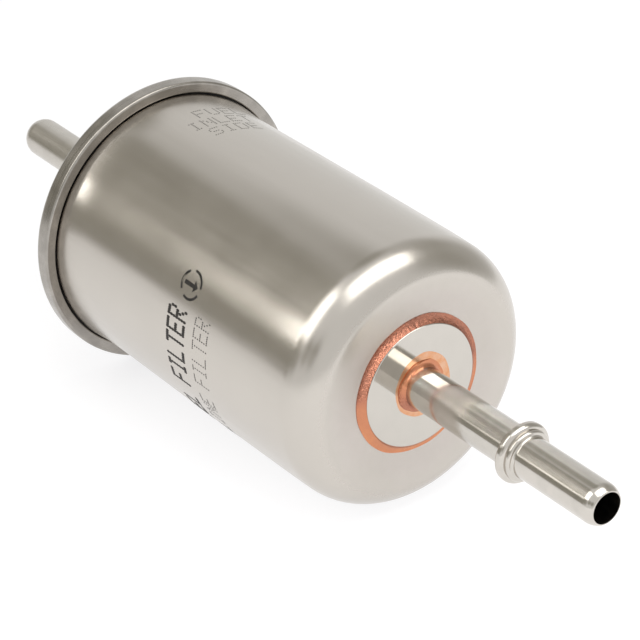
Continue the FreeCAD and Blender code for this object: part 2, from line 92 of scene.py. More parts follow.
# --- sizes of the tubes ---------------------------------------------------------------------------------
STUB_CHAMFER = 0.4
BEAD_START = 26.8
BEAD_ROOT = 0.25
BEAD_BACK_ROUND = 0.4
BEAD_CREST = 0.45
BEAD_FRONT_ROUND = 0.85
BEAD_STEP = 0.4
BEAD_STEP_ROUND = 0.5
BEAD_FOOT = 0.475
TIP_TAPER = 1.95
TIP_DROP = 0.62
TIP_LIP = 0.15
TIP_LIP_ROUND = 0.4
BRAZE_EDGE = 0.12
TUBE_BRAZE_HOLLOW = 1.25
PLATE_BRAZE_HOLLOW = 1.9

# --- sizes that follow from those -----------------------------------------------------------------------
CAN_BORE = CAN_RADIUS - SHEET
HOOK_OUTSIDE = RIM_RADIUS - SHEET - SEAM_GAP
CURL_BEND = (HOOK_OUTSIDE - CAN_BORE) / 2
CURL_MIDDLE = CAN_BORE + CURL_BEND
CURL_ALONG = RIM_BACK + SHEET + SEAM_GAP + CURL_BEND
SHOULDER_MIDDLE = CAN_RADIUS - SHOULDER_BEND
CREST = SHOULDER + (SHOULDER_BEND - CREST_BEND) * math.cos(SHOULDER_LEAN)
CREST_MIDDLE = SHOULDER_MIDDLE + (SHOULDER_BEND - CREST_BEND) * math.sin(SHOULDER_LEAN)
PANEL = PLATE_BRAZE_FOOT
PLATE_DEPTH = PLATE_RISE + SHEET

# --- how finely the meshes are made ---------------------------------------------------------------------
ARC_STEP = math.radians(5)
LONGEST_RUN = 1.6
CORNER_RUN = 0.12  # from a corner to the point beside it, on a long run
CORNER_SHARE = 0.3  # the same as a share of a short run
CAN_SEGMENTS = 360
TUBE_SEGMENTS = 144
SHARP_ANGLE = math.radians(30)


# --- meshes ---------------------------------------------------------------------------------------------
def arc_points(start, end, bend):
    """Points of the short arc from start to end, without start.  It turns left for a positive bend."""
    chord = end - start
    left = np.array([-chord[1], chord[0]]) / np.linalg.norm(chord)
    lift = math.sqrt(max(bend * bend - chord @ chord / 4, 0))
    centre = (start + end) / 2 + left * math.copysign(lift, bend)
    first = math.atan2(*(start - centre)[::-1])
    sweep = math.copysign(2 * math.asin(min(1, np.linalg.norm(chord) / (2 * abs(bend)))), bend)
    count = max(3, math.ceil(abs(sweep) / ARC_STEP))
    angles = first + sweep * np.arange(1, count + 1) / count
    return centre + abs(bend) * np.column_stack([np.cos(angles), np.sin(angles)])


def run_points(start, end):
    """Points of a straight run from start to end, without start, with one close to each end."""
    length = np.linalg.norm(end - start)
    count = max(1, math.ceil(length / LONGEST_RUN))
    shares = np.arange(1, count + 1) / count
    near = min(CORNER_RUN, CORNER_SHARE * length) / length
    shares = np.unique(np.concatenate([[near, 1 - near], shares]))
    return start + shares[:, None] * (end - start)


def traced(steps):
    """A closed outline from (along, radius) for runs and (along, radius, bend) for arcs."""
    corners = np.array([step[:2] for step in steps], float)
    parts = []
    for number, step in enumerate(steps):
        start = corners[number - 1]
        end = corners[number]
        parts.append(arc_points(start, end, step[2]) if len(step) == 3 else run_points(start, end))
    return np.concatenate(parts)


def new_piece(name, points, faces, body, replaced, material):
    """A piece from points in millimetres, which rides on a body and stands for a CAD node."""
    mesh = bpy.data.meshes.new(name)
    mesh.from_pydata((np.asarray(points) * MM).tolist(), [], [list(map(int, face)) for face in faces])
    shell = bmesh.new()
    shell.from_mesh(mesh)
    bmesh.ops.recalc_face_normals(shell, faces=shell.faces)
    shell.to_mesh(mesh)
    shell.free()
    mesh.shade_smooth()
    mesh.set_sharp_from_angle(angle=SHARP_ANGLE)
    mesh.materials.append(material)
    piece = bpy.data.objects.new(name, mesh)
    bpy.context.scene.collection.objects.link(piece)
    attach(piece, body)
    if replaced:
        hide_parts(replaced)
    return piece


def grid_faces(rows, columns):
    """Quads of a grid that closes on itself both ways."""
    row, column = np.meshgrid(np.arange(rows), np.arange(columns), indexing="ij")
    below = (row + 1) % rows
    beside = (column + 1) % columns
    corners = [row * columns + column, row * columns + beside, below * columns + beside,
               below * columns + column]
    return np.stack([corner.ravel() for corner in corners], axis=1)


def turned(name, steps, segments, body, slot, replaced, material, shift=None, place=0.0, flipped=False):
    """A piece turned round the axis.  shift(along, radius, angle) moves its points a little."""
    outline = traced(steps)
    angle = np.arange(segments) * 2 * math.pi / segments
    along = np.repeat(outline[:, 0], segments).reshape(-1, segments)
    radius = np.repeat(outline[:, 1], segments).reshape(-1, segments)
    angles = np.broadcast_to(angle, along.shape)
    if shift:
        along, radius = shift(along, radius, angles)
    along = place + (-along if flipped else along)
    points = np.stack([along, -radius * np.sin(angles), radius * np.cos(angles)], axis=-1)
    faces = grid_faces(len(outline), segments)
    return new_piece(name, points.reshape(-1, 3), faces, body, replaced, material)


def ripple(angle, along, waves):
    """A smooth uneven surface: a sum of (size, waves round, waves per millimetre, phase)."""
    return sum(size * np.sin(rounds * angle + pitch * along + phase)
               for size, rounds, pitch, phase in waves)


# --- materials ------------------------------------------------------------------------------------------
NOISE_LOW = 0.3
NOISE_HIGH = 0.7


class Material:
    """A node material under construction."""

    def __init__(self, name, colour, roughness, metallic=1.0):
        self.material = bpy.data.materials.new(name)
        self.material.use_nodes = True
        self.tree = self.material.node_tree
        self.shader = self.tree.nodes["Principled BSDF"]
        self.shader.inputs["Base Color"].default_value = (*colour, 1)
        self.shader.inputs["Roughness"].default_value = roughness
        self.shader.inputs["Metallic"].default_value = metallic
        self.place = self.tree.nodes.new("ShaderNodeTexCoord").outputs["Object"]
        self.normal = None

    def link(self, output, target):
        self.tree.links.new(output, target)

    def noise(self, scale, detail=3.0, rough=0.55, stretch=(1, 1, 1)):
        """A noise pattern with scale features per metre, stretched along the axes."""
        mapping = self.tree.nodes.new("ShaderNodeMapping")
        mapping.inputs["Scale"].default_value = stretch
        self.link(self.place, mapping.inputs["Vector"])
        texture = self.tree.nodes.new("ShaderNodeTexNoise")
        texture.inputs["Scale"].default_value = scale
        texture.inputs["Detail"].default_value = detail
        texture.inputs["Roughness"].default_value = rough
        self.link(mapping.outputs["Vector"], texture.inputs["Vector"])
        return texture.outputs["Fac"]

    def ranged(self, value, low, high, to_low, to_high):
        """value, taken from the range low..high to to_low..to_high."""
        node = self.tree.nodes.new("ShaderNodeMapRange")
        node.inputs["From Min"].default_value = low
        node.inputs["From Max"].default_value = high
        node.inputs["To Min"].default_value = to_low
        node.inputs["To Max"].default_value = to_high
        self.link(value, node.inputs["Value"])
        return node.outputs["Result"]

    def spread(self, noise, to_low, to_high):
        """A noise pattern's usual range, taken to to_low..to_high."""
        return self.ranged(noise, NOISE_LOW, NOISE_HIGH, to_low, to_high)

    def maths(self, operation, first, second):
        node = self.tree.nodes.new("ShaderNodeMath")
        node.operation = operation
        for socket, value in zip(node.inputs, (first, second)):
            if isinstance(value, (int, float)):
                socket.default_value = value
            else:
                self.link(value, socket)
        return node.outputs["Value"]

    def radius(self):
        """How far a point is from the object's axis, in metres."""
        parts = self.tree.nodes.new("ShaderNodeSeparateXYZ")
        self.link(self.place, parts.inputs["Vector"])
        squares = [self.maths("POWER", parts.outputs[axis], 2.0) for axis in ("Y", "Z")]
        return self.maths("SQRT", self.maths("ADD", *squares), 0.0)

    def colours(self, value, stops):
        """Colours along value: a list of (place, colour)."""
        ramp = self.tree.nodes.new("ShaderNodeValToRGB")
        elements = ramp.color_ramp.elements
        while len(elements) < len(stops):
            elements.new(0.5)
        for element, (where, colour) in zip(elements, stops):
            element.position = where
            element.color = (*colour, 1)
        self.link(value, ramp.inputs["Fac"])
        self.link(ramp.outputs["Color"], self.shader.inputs["Base Color"])

    def roughness(self, value):
        self.link(value, self.shader.inputs["Roughness"])

    def bump(self, height, depth):
        """Adds relief: height from 0 to 1 stands for depth in millimetres."""
        node = self.tree.nodes.new("ShaderNodeBump")
        node.inputs["Strength"].default_value = 1.0
        node.inputs["Distance"].default_value = depth * MM
        self.link(height, node.inputs["Height"])
        if self.normal is not None:
            self.link(self.normal, node.inputs["Normal"])
        self.normal = node.outputs["Normal"]
        self.link(self.normal, self.shader.inputs["Normal"])


def shade(colour, factor):
    return tuple(channel * factor for channel in colour)


STEEL = (0.57, 0.535, 0.49)
TUBE_STEEL = (0.58, 0.55, 0.505)
PANEL_STEEL = (0.61, 0.565, 0.53)
WALL_ROUGHNESS = 0.23
PANEL_ROUGHNESS = 0.5
PANEL_FINISH_START = 23.0  # radius where the wall's finish starts to pass into the end panel's
PANEL_FINISH_END = 17.0
COVER_SHADE = 0.66
COPPER_DIVIDE = 8.0  # radius between the small copper rings and the large ones


def can_steel():
    """Drawn steel: satin, with fine grain and faint drawing lines along the can.  The end panel is duller
    and a little warmer than the wall."""
    made = Material("can_steel", STEEL, 0.3)
    cloud = made.noise(90, 4)
    lines = made.noise(700, 3, stretch=(0.06, 1, 1))
    to_panel = made.ranged(made.radius(), PANEL_FINISH_START * MM, PANEL_FINISH_END * MM, 0, 1)
    tone = made.maths("ADD", made.spread(cloud, 0, 0.5), made.maths("MULTIPLY", to_panel, 0.5))
    made.colours(tone, [(0.0, shade(STEEL, 0.97)), (0.5, STEEL), (1.0, PANEL_STEEL)])
    uneven = made.maths("ADD", made.spread(cloud, -0.015, 0.015),
                        made.spread(lines, -0.02, 0.02))
    made.roughness(made.maths("ADD", uneven, made.ranged(to_panel, 0, 1, WALL_ROUGHNESS, PANEL_ROUGHNESS)))
    made.bump(made.noise(2600, 2), 0.0012)
    return made.material


def cover_steel():
    """The cover and the rolled rim: darker than the can, with fine rings round the axis."""
    made = Material("cover_steel", shade(STEEL, COVER_SHADE), 0.24)
    rings = made.noise(900, 3, stretch=(3, 0.02, 0.02))
    cloud = made.noise(300, 3)
    made.colours(made.spread(cloud, 0, 1),
                 [(0.0, shade(STEEL, 0.57)), (0.55, shade(STEEL, COVER_SHADE)), (1.0, shade(STEEL, 0.78))])
    made.roughness(made.maths("ADD", made.spread(rings, -0.05, 0.06), 0.27))
    made.bump(rings, 0.02)
    made.bump(made.noise(2200, 2), 0.0015)
    return made.material


def plate_steel():
    """The ground disc: almost a mirror, with a faint haze."""
    made = Material("plate_steel", TUBE_STEEL, 0.08)
    cloud = made.noise(260, 4)
    made.colours(made.spread(cloud, 0, 1), [(0.0, shade(TUBE_STEEL, 0.97)), (1.0, TUBE_STEEL)])
    made.roughness(made.spread(cloud, 0.05, 0.12))
    made.bump(made.noise(1500, 3), 0.0008)
    return made.material


def tube_steel(name, dullness):
    """Tube with fine drawing lines along it: bright, or satin where it is duller."""
    made = Material(name, TUBE_STEEL, dullness)
    lines = made.noise(1500, 3, stretch=(0.04, 1, 1))
    cloud = made.noise(350, 4)
    made.colours(made.spread(cloud, 0, 1),
                 [(0.0, shade(TUBE_STEEL, 0.94)), (0.6, TUBE_STEEL), (1.0, (0.6, 0.565, 0.52))])
    made.roughness(made.maths("ADD", made.spread(lines, -0.03, 0.04), dullness))
    made.bump(lines, 0.0018)
    made.bump(made.noise(1800, 2), 0.0012)
    return made.material


def copper_braze():
    """Copper that ran and froze: smooth and orange where it is clean, brown and finely wrinkled where it
    oxidised. The brown tone is laid by height, on top of the large rings and under the small ones, so it is
    partly oxide and partly painted shade on those sides."""
    made = Material("copper_braze", (0.62, 0.25, 0.14), 0.25)
    cloud = made.noise(150, 4, 0.6)
    wrinkles = made.noise(1500, 3, 0.7)
    parts = made.tree.nodes.new("ShaderNodeSeparateXYZ")
    made.link(made.place, parts.inputs["Vector"])
    outside = made.maths("SUBTRACT", made.radius(), COPPER_DIVIDE * MM)
    # Oxide with painted shade: the brown, wrinkled share is laid on top of the large rings and under the
    # small ones
    side = made.maths("MULTIPLY", parts.outputs["Z"], outside)
    ragged = made.maths("ADD", side, made.spread(cloud, -8e-6, 8e-6))
    oxide_and_shade = made.ranged(ragged, -6e-6, 12e-6, 0, 1)
    tone = made.maths("SUBTRACT", made.spread(cloud, 0.6, 1), made.maths("MULTIPLY", oxide_and_shade, 0.45))
    made.colours(tone, [(0.0, (0.26, 0.13, 0.10)), (0.5, (0.47, 0.19, 0.12)), (1.0, (0.66, 0.28, 0.14))])
    made.roughness(made.spread(wrinkles, 0.12, 0.3))
    made.bump(made.maths("MULTIPLY", wrinkles, made.ranged(oxide_and_shade, 0, 1, 0.1, 1)), 0.3)
    made.bump(cloud, 0.05)
    return made.material


def copper_film():
    """Copper so thin that the steel under it shows through: pale orange, in cloudy tones."""
    made = Material("copper_film", (0.66, 0.38, 0.24), 0.18)
    cloud = made.noise(700, 4)
    made.colours(made.spread(cloud, 0, 1), [(0.0, (0.66, 0.31, 0.15)), (1.0, (0.70, 0.43, 0.29))])
    made.roughness(made.spread(cloud, 0.14, 0.26))
    made.bump(cloud, 0.004)
    return made.material


def ink(name, darkest, palest):
    """Grey marking ink, uneven in tone."""
    made = Material(name, darkest, 0.55, 0.0)
    made.shader.inputs["Specular IOR Level"].default_value = 0.2
    cloud = made.noise(1200, 3)
    made.colours(made.spread(cloud, 0, 1), [(0.0, darkest), (1.0, palest)])
    made.roughness(made.spread(cloud, 0.45, 0.65))
    made.bump(made.noise(4000, 2), 0.002)
    return made.material


def plain(name, colour, other, roughness, metallic, scale, depth):
    """A material for a piece inside: two colours, uneven roughness and relief from one noise."""
    made = Material(name, colour, roughness, metallic)
    cloud = made.noise(scale, 4, 0.6)
    made.colours(made.spread(cloud, 0, 1), [(0.0, colour), (1.0, other)])
    made.roughness(made.spread(cloud, roughness * 0.8, min(1, roughness * 1.2)))
    made.bump(cloud, depth)
    return made.material


# --- outlines of the pieces -----------------------------------------------------------------------------
def can_steps():
    def on_shoulder(bend):
        return SHOULDER + bend * math.cos(SHOULDER_LEAN), SHOULDER_MIDDLE + bend * math.sin(SHOULDER_LEAN)

    def off_crest(bend):
        return CREST + bend * math.cos(PANEL_SLOPE), CREST_MIDDLE - bend * math.sin(PANEL_SLOPE)

    small_bend = CURL_BEND - SHEET
    hook_inside = HOOK_OUTSIDE - SHEET
    hook_end = RIM_BACK + BODY_HOOK_END
    return [
        (hook_end, HOOK_OUTSIDE),
        (CURL_ALONG, HOOK_OUTSIDE),
        (CURL_ALONG - CURL_BEND, CURL_MIDDLE, CURL_BEND),
        (CURL_ALONG, CAN_BORE, CURL_BEND),
        (SHOULDER, CAN_BORE),
        (*on_shoulder(SHOULDER_BEND - SHEET), SHEET - SHOULDER_BEND),
        (*off_crest(CREST_BEND - SHEET), SHEET - CREST_BEND),
        (PANEL - SHEET, PANEL_FLAT_RADIUS),
        (PANEL - SHEET, BOSS_RADIUS),
        (PANEL, BOSS_RADIUS),
        (PANEL, PANEL_FLAT_RADIUS),
        off_crest(CREST_BEND),
        (*on_shoulder(SHOULDER_BEND), CREST_BEND),
        (SHOULDER, CAN_RADIUS, SHOULDER_BEND),
        (CURL_ALONG, CAN_RADIUS),
        (CURL_ALONG - small_bend, CURL_MIDDLE, -small_bend),
        (CURL_ALONG, hook_inside, -small_bend),
        (hook_end, hook_inside),
    ]


def cover_steps():
    wall_outside = CAN_BORE - SEAM_GAP
    wall_inside = wall_outside - SHEET
    front = RIM_WIDTH - RIM_FRONT_ROUND
    inner_face = RIM_WIDTH - RIM_FACE_LEAN
    hook = RIM_RADIUS - RIM_FRONT_ROUND * 2
    steps = [
        (COVER_RECESS, BOSS_RADIUS),
        (COVER_RECESS, wall_inside - COVER_BEND),
        (COVER_RECESS - COVER_BEND, wall_inside, COVER_BEND),
        (RIM_BACK_ROUND, wall_inside),
        (0, wall_inside + RIM_BACK_ROUND, -RIM_BACK_ROUND),
        (0, RIM_RADIUS - RIM_BACK_ROUND),
        (RIM_BACK_ROUND, RIM_RADIUS, -RIM_BACK_ROUND),
        (RIM_WIDTH - RIM_CORNER, RIM_RADIUS),
        (RIM_WIDTH, RIM_RADIUS - RIM_CORNER, -RIM_CORNER),
        (inner_face, hook + RIM_INNER_CORNER),
        (inner_face - RIM_INNER_CORNER, hook, -RIM_INNER_CORNER),
        (COVER_HOOK_END, hook),
        (COVER_HOOK_END, hook + SHEET),
        (front, hook + SHEET),
        (RIM_WIDTH - SHEET, RIM_RADIUS - RIM_FRONT_ROUND, RIM_FRONT_ROUND - SHEET),
        (front, RIM_RADIUS - SHEET, RIM_FRONT_ROUND - SHEET),
        (RIM_BACK_ROUND, RIM_RADIUS - SHEET),
        (SHEET, RIM_RADIUS - RIM_BACK_ROUND, RIM_BACK_ROUND - SHEET),
        (SHEET, wall_inside + RIM_BACK_ROUND),
        (RIM_BACK_ROUND, wall_outside, RIM_BACK_ROUND - SHEET),
        (COVER_RECESS - COVER_BEND, wall_outside),
        (COVER_RECESS + SHEET, wall_inside - COVER_BEND, -(COVER_BEND + SHEET)),
        (COVER_RECESS + SHEET, BOSS_RADIUS),
    ]
    return [(step[0] + RIM_BACK, *step[1:]) for step in steps]


def plate_steps():
    return [
        (0, TUBE_RADIUS),
        (0, PLATE_RADIUS - PLATE_EDGE),
        (-PLATE_EDGE, PLATE_RADIUS, PLATE_EDGE),
        (-PLATE_RISE, PLATE_RADIUS),
        (-PLATE_RISE, BOSS_RADIUS),
        (-PLATE_DEPTH, BOSS_RADIUS),
        (-PLATE_DEPTH, TUBE_RADIUS),
    ]


def plate_braze_steps():
    return [
        (-PLATE_RISE, PLATE_RADIUS),
        (-PLATE_EDGE, PLATE_RADIUS),
        (BRAZE_EDGE - PLATE_RISE, PLATE_BRAZE_RADIUS, -PLATE_BRAZE_HOLLOW),
        (-PLATE_RISE, PLATE_BRAZE_RADIUS),
    ]


def tube_braze_steps():
    return [
        (0, TUBE_RADIUS),
        (TUBE_BRAZE_TOP - OUTLET_FACE, TUBE_RADIUS),
        (BRAZE_EDGE, TUBE_BRAZE_RADIUS, -TUBE_BRAZE_HOLLOW),
        (0, TUBE_BRAZE_RADIUS),
    ]


def film_steps(inner, outer):
    """A thin film of copper on a face, from under the fillet's edge outwards."""
    return [
        (-FILM_SINK, inner),
        (FILM_THICKNESS, inner),
        (FILM_THICKNESS, outer - FILM_THICKNESS * 2),
        (-FILM_SINK, outer),
    ]


def tube_steps():
    inner_end = STUB_END - OUTLET_FACE
    tip = TUBE_TIP - OUTLET_FACE
    crest_end = BEAD_START + BEAD_BACK_ROUND + BEAD_CREST
    step_radius = BEAD_RADIUS - BEAD_FRONT_ROUND
    step_start = crest_end + BEAD_FRONT_ROUND
    step_end = step_start + BEAD_STEP
    foot_radius = step_radius - BEAD_STEP_ROUND
    foot_start = step_end + BEAD_STEP_ROUND
    taper_end = tip - TIP_LIP
    taper_bend = (TIP_TAPER * TIP_TAPER + TIP_DROP * TIP_DROP) / (TIP_DROP * 2)
    return [
        (inner_end, TUBE_BORE),
        (inner_end, TUBE_RADIUS - STUB_CHAMFER),
        (inner_end + STUB_CHAMFER, TUBE_RADIUS),
        (BEAD_START - BEAD_ROOT, TUBE_RADIUS),
        (BEAD_START, TUBE_RADIUS + BEAD_ROOT, BEAD_ROOT),
        (BEAD_START, BEAD_RADIUS - BEAD_BACK_ROUND),
        (BEAD_START + BEAD_BACK_ROUND, BEAD_RADIUS, -BEAD_BACK_ROUND),
        (crest_end, BEAD_RADIUS),
        (step_start, step_radius, -BEAD_FRONT_ROUND),
        (step_end, step_radius),
        (foot_start, foot_radius, -BEAD_STEP_ROUND),
        (foot_start + BEAD_FOOT, TUBE_RADIUS, foot_radius - TUBE_RADIUS),
        (taper_end - TIP_TAPER, TUBE_RADIUS),
        (taper_end, TUBE_RADIUS - TIP_DROP, -taper_bend),
        (tip, TUBE_BORE, -TIP_LIP_ROUND),
    ]


# --- small unevenness of the real pieces ----------------------------------------------------------------
WAIST_START = 12.0
WAIST = -28.3  # where the wall is narrowest, between the straight wall and the flare into the rim
WAIST_DEPTH = 0.22
FLARE_HEIGHT = 0.26
FLARE_POWER = 1.9
CLOSING_START = 27.5
CLOSING = 0.10
WAVES_END = SHOULDER + 2.0  # the wall's waves fade out over the last stretch before this place
WAVES_FADE = 8.0
SHOULDER_FADE = 6.0  # radius over which the wall's shift fades in, from the shoulder's middle outwards
WALL_WAVES = [(0.010, 3, 0.11, 0.4), (0.007, 5, -0.16, 2.1), (0.004, 9, 0.23, 4.0), (0.003, 14, -0.31, 1.2)]
WAVE_SINK = 0.012
BRAZE_MARGIN = 0.1
FILM_TUCK = 0.5  # how far the film reaches in under the copper ring
FILM_WIDTH = 1.1
FILM_TURN = 2.9
FILM_THICKNESS = 0.012
FILM_SINK = 0.02


def smooth(share):
    share = np.clip(share, 0, 1)
    return share * share * (3 - 2 * share)


def wall_shift(along, angle):
    """How far the can's wall stands off its straight radius: it has a faint waist, flares into the rim,
    and starts to close a little before the shoulder."""
    rim_front = RIM_BACK + RIM_WIDTH
    under_rim = np.clip((along - CURL_ALONG) / (rim_front - CURL_ALONG), 0, 1)
    waist = -WAIST_DEPTH * smooth((WAIST_START - along) / (WAIST_START - WAIST))
    flare = (FLARE_HEIGHT + WAIST_DEPTH) * np.clip((WAIST - along) / (WAIST - rim_front), 0, 1) ** FLARE_POWER
    closing = -CLOSING * np.clip((along - CLOSING_START) / (SHOULDER - CLOSING_START), 0, 1) ** 2
    waved = under_rim * np.clip((WAVES_END - along) / WAVES_FADE, 0, 1)
    return under_rim * (waist + flare) + closing + waved * (ripple(angle, along, WALL_WAVES) - WAVE_SINK)


def can_shift(along, radius, angle):
    """The wall's shift, faded out over the shoulder.  The rolled hook and the end panel stay as they are."""
    fade = np.clip((radius - SHOULDER_MIDDLE) / SHOULDER_FADE, 0, 1)
    on_wall = radius < CAN_RADIUS + 0.01
    return along, radius + np.where(on_wall, wall_shift(along, angle) * fade, 0)


def edge_shift(inner, outer, waves, margin=0.0):
    """The copper's outer edge wanders, short of its full width by a margin.  Its inner edge stays put."""
    def shift(along, radius, angle):
        share = np.clip((radius - inner) / (outer - inner), 0, 1)
        return along, radius + share * (ripple(angle, 0, waves) - margin)
    return shift


def braze_waves(phase):
    return [(0.07, 3, 0, phase), (0.05, 7, 0, 2 * phase), (0.02, 16, 0, 3 * phase)]


def film_waves(phase):
    """The film reaches furthest towards +Y, the same at both ends."""
    return [(0.5, 1, 0, FILM_TURN), (0.16, 2, 0, phase), (0.10, 3, 0, 2 * phase), (0.05, 8, 0, 3 * phase)]


# --- build the visible metal pieces ----------------------------------------------------------------------
can_material = can_steel()
cover_material = cover_steel()
plate_material = plate_steel()
tube_materials = {"outlet": tube_steel("tube_steel", 0.14), "inlet": tube_steel("tube_steel_satin", 0.3)}
copper_material = copper_braze()
film_material = copper_film()
dark_ink = ink("marking_ink", (0.012, 0.011, 0.01), (0.05, 0.045, 0.04))
faint_ink = ink("faint_ink", (0.10, 0.095, 0.09), (0.18, 0.17, 0.155))

turned("can_shell", can_steps(), CAN_SEGMENTS, "housing", "can_steel", "can", can_material, can_shift)
turned("end_cover_shell", cover_steps(), CAN_SEGMENTS, "housing", "cover_steel", "end_cover", cover_material)
for end, face, flipped in (("outlet", OUTLET_FACE, False), ("inlet", INLET_FACE, True)):
    place = {"body": "housing", "place": face, "flipped": flipped}
    turned(f"{end}_disc", plate_steps(), TUBE_SEGMENTS * 2, slot="plate_steel",
           replaced=f"{end}_plate", material=plate_material, **place)
    turned(f"{end}_disc_copper", plate_braze_steps(), CAN_SEGMENTS, slot="copper_braze",
           replaced=f"{end}_plate_braze", material=copper_material,
           shift=edge_shift(PLATE_RADIUS, PLATE_BRAZE_RADIUS, braze_waves(1.3 + flipped), BRAZE_MARGIN),
           **place)
    turned(f"{end}_spigot", tube_steps(), TUBE_SEGMENTS, slot="tube_steel",
           replaced=f"{end}_tube", material=tube_materials[end], **place)
    turned(f"{end}_spigot_copper", tube_braze_steps(), TUBE_SEGMENTS * 2, slot="copper_braze",
           replaced=f"{end}_tube_braze", material=copper_material,
           shift=edge_shift(TUBE_RADIUS, TUBE_BRAZE_RADIUS, braze_waves(2.7 + flipped), BRAZE_MARGIN),
           **place)
    inner = TUBE_BRAZE_RADIUS - FILM_TUCK
    outer = TUBE_BRAZE_RADIUS + FILM_WIDTH
    turned(f"{end}_spigot_copper_film", film_steps(inner, outer), TUBE_SEGMENTS * 2, slot="copper_braze",
           replaced=None, material=film_material,
           shift=edge_shift(inner, outer, film_waves(0.9 + flipped)), **place)


# --- spring ---------------------------------------------------------------------------------------------
SPRING_WIRE = 0.7
SPRING_TURNS = 5
CLOSED_PITCH = 1.45
POINTS_PER_TURN = 48
WIRE_SIDES = 16


def make_spring(material):
    """A coil spring whose first and last turns are closed, squeezed when the element is pushed back."""
    rise = COIL_END - COIL_START - 2 * SPRING_WIRE
    turn = np.linspace(0, SPRING_TURNS, SPRING_TURNS * POINTS_PER_TURN + 1)
    along = COIL_START + SPRING_WIRE + np.interp(
        turn, [0, 1, SPRING_TURNS - 1, SPRING_TURNS], [0, CLOSED_PITCH, rise - CLOSED_PITCH, rise])
    round_wire = np.arange(WIRE_SIDES) * 2 * math.pi / WIRE_SIDES
    radius = COIL_OUTSIDE - SPRING_WIRE + SPRING_WIRE * np.cos(round_wire)[None, :]
    angle = 2 * math.pi * turn[:, None]
    points = np.stack([along[:, None] + SPRING_WIRE * np.sin(round_wire)[None, :] + 0 * angle,
                       -radius * np.sin(angle), radius * np.cos(angle)], axis=-1)
    faces = grid_faces(len(turn), WIRE_SIDES)[:-WIRE_SIDES].tolist()
    last = len(turn) * WIRE_SIDES
    faces += [list(range(WIRE_SIDES)), list(range(last - WIRE_SIDES, last))]
    spring = new_piece("coil_spring", points.reshape(-1, 3), faces, "housing",
                       "element_spring", material)
    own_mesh(spring)


# --- printed marks --------------------------------------------------------------------------------------
GLYPHS = {
    "D": ("####.", "#...#", "#...#", "#...#", "#...#", "#...#", "####."),
    "E": ("#####", "#....", "#....", "####.", "#....", "#....", "#####"),
    "F": ("#####", "#....", "#....", "####.", "#....", "#....", "#...."),
    "I": (".###.", "..#..", "..#..", "..#..", "..#..", "..#..", ".###."),
    "L": ("#....", "#....", "#....", "#....", "#....", "#....", "#####"),
    "N": ("#...#", "##..#", "#.#.#", "#.#.#", "#..##", "#...#", "#...#"),
    "R": ("####.", "#...#", "#...#", "####.", "#.#..", "#..#.", "#...#"),
    "S": (".####", "#....", "#....", ".###.", "....#", "....#", "####."),
    "T": ("#####", "..#..", "..#..", "..#..", "..#..", "..#..", "..#.."),
    "U": ("#...#", "#...#", "#...#", "#...#", "#...#", "#...#", ".###."),
    " ": (".....",) * 7,
}
GLYPH_COLUMNS = 6
INK_THICKNESS = 0.02
INK_SINK = 0.03
DOT_SIDES = 10
BOW_POINTS = 25
FLOW_PLACE = 5.5  # the flow mark's middle on the axis
FLOW_TURN = math.radians(63)
FLOW_RING_INSIDE = 2.45
FLOW_RING_OUTSIDE = 2.95
FLOW_RING_PARTS = 3
FLOW_RING_START = 25  # degrees
FLOW_RING_PART = 90  # degrees of each part


def dots_of(text, top, last, row_pitch, column_pitch, dot):
    """Dots of a line of text.  Its letters' tops are at top on the axis, it runs towards smaller angles,
    and it ends at the angle last, in degrees.  dot is half a dot's width along and round the can."""
    turn = np.arange(DOT_SIDES) * 2 * math.pi / DOT_SIDES
    shape = np.column_stack([dot[0] * np.cos(turn), dot[1] * np.sin(turn)])
    start = math.radians(last) * CAN_RADIUS + len(text) * GLYPH_COLUMNS * column_pitch
    dots = []
    for place, letter in enumerate(text):
        for row, cells in enumerate(GLYPHS[letter]):
            for column, cell in enumerate(cells):
                if cell == "#":
                    across = start - (place * GLYPH_COLUMNS + column) * column_pitch
                    dots.append(shape + (top + row * row_pitch, across))
    return dots


def bow(middle, inside, outside, first, last):
    """A stretch of a ring round middle, between two angles in degrees."""
    turn = np.radians(np.linspace(first, last, BOW_POINTS))
    arc = np.column_stack([np.cos(turn), np.sin(turn)])
    return np.concatenate([arc * outside, arc[::-1] * inside]) + middle


def arrow(middle, length, width, shaft):
    """An arrow along the axis, with its point towards the outlet."""
    neck = length / 2 - width / 2
    half = [(-length / 2, shaft / 2), (neck, shaft / 2), (neck, width / 2), (length / 2, 0)]
    mirrored = [(along, -across) for along, across in half[-2::-1]]
    return np.array(half + mirrored) + middle


def printed(name, shapes, material):
    """Ink on the can's wall: each shape is an outline of (along, distance round the can), made a thin
    closed plate that follows the wall."""
    points = []
    faces = []
    for shape in shapes:
        angle = shape[:, 1] / CAN_RADIUS
        wall = CAN_RADIUS + wall_shift(shape[:, 0], angle)
        count = len(shape)
        first = len(points)
        for radius in (wall + INK_THICKNESS, wall - INK_SINK):
            points.extend(np.column_stack([shape[:, 0], -radius * np.sin(angle), radius * np.cos(angle)]))
        top = list(range(first, first + count))
        bottom = list(range(first + count, first + 2 * count))
        faces += [top, bottom[::-1]]
        for corner in range(count):
            beside = (corner + 1) % count
            faces.append([top[corner], bottom[corner], bottom[beside], top[beside]])
    new_piece(name, points, faces, "housing", None, material)


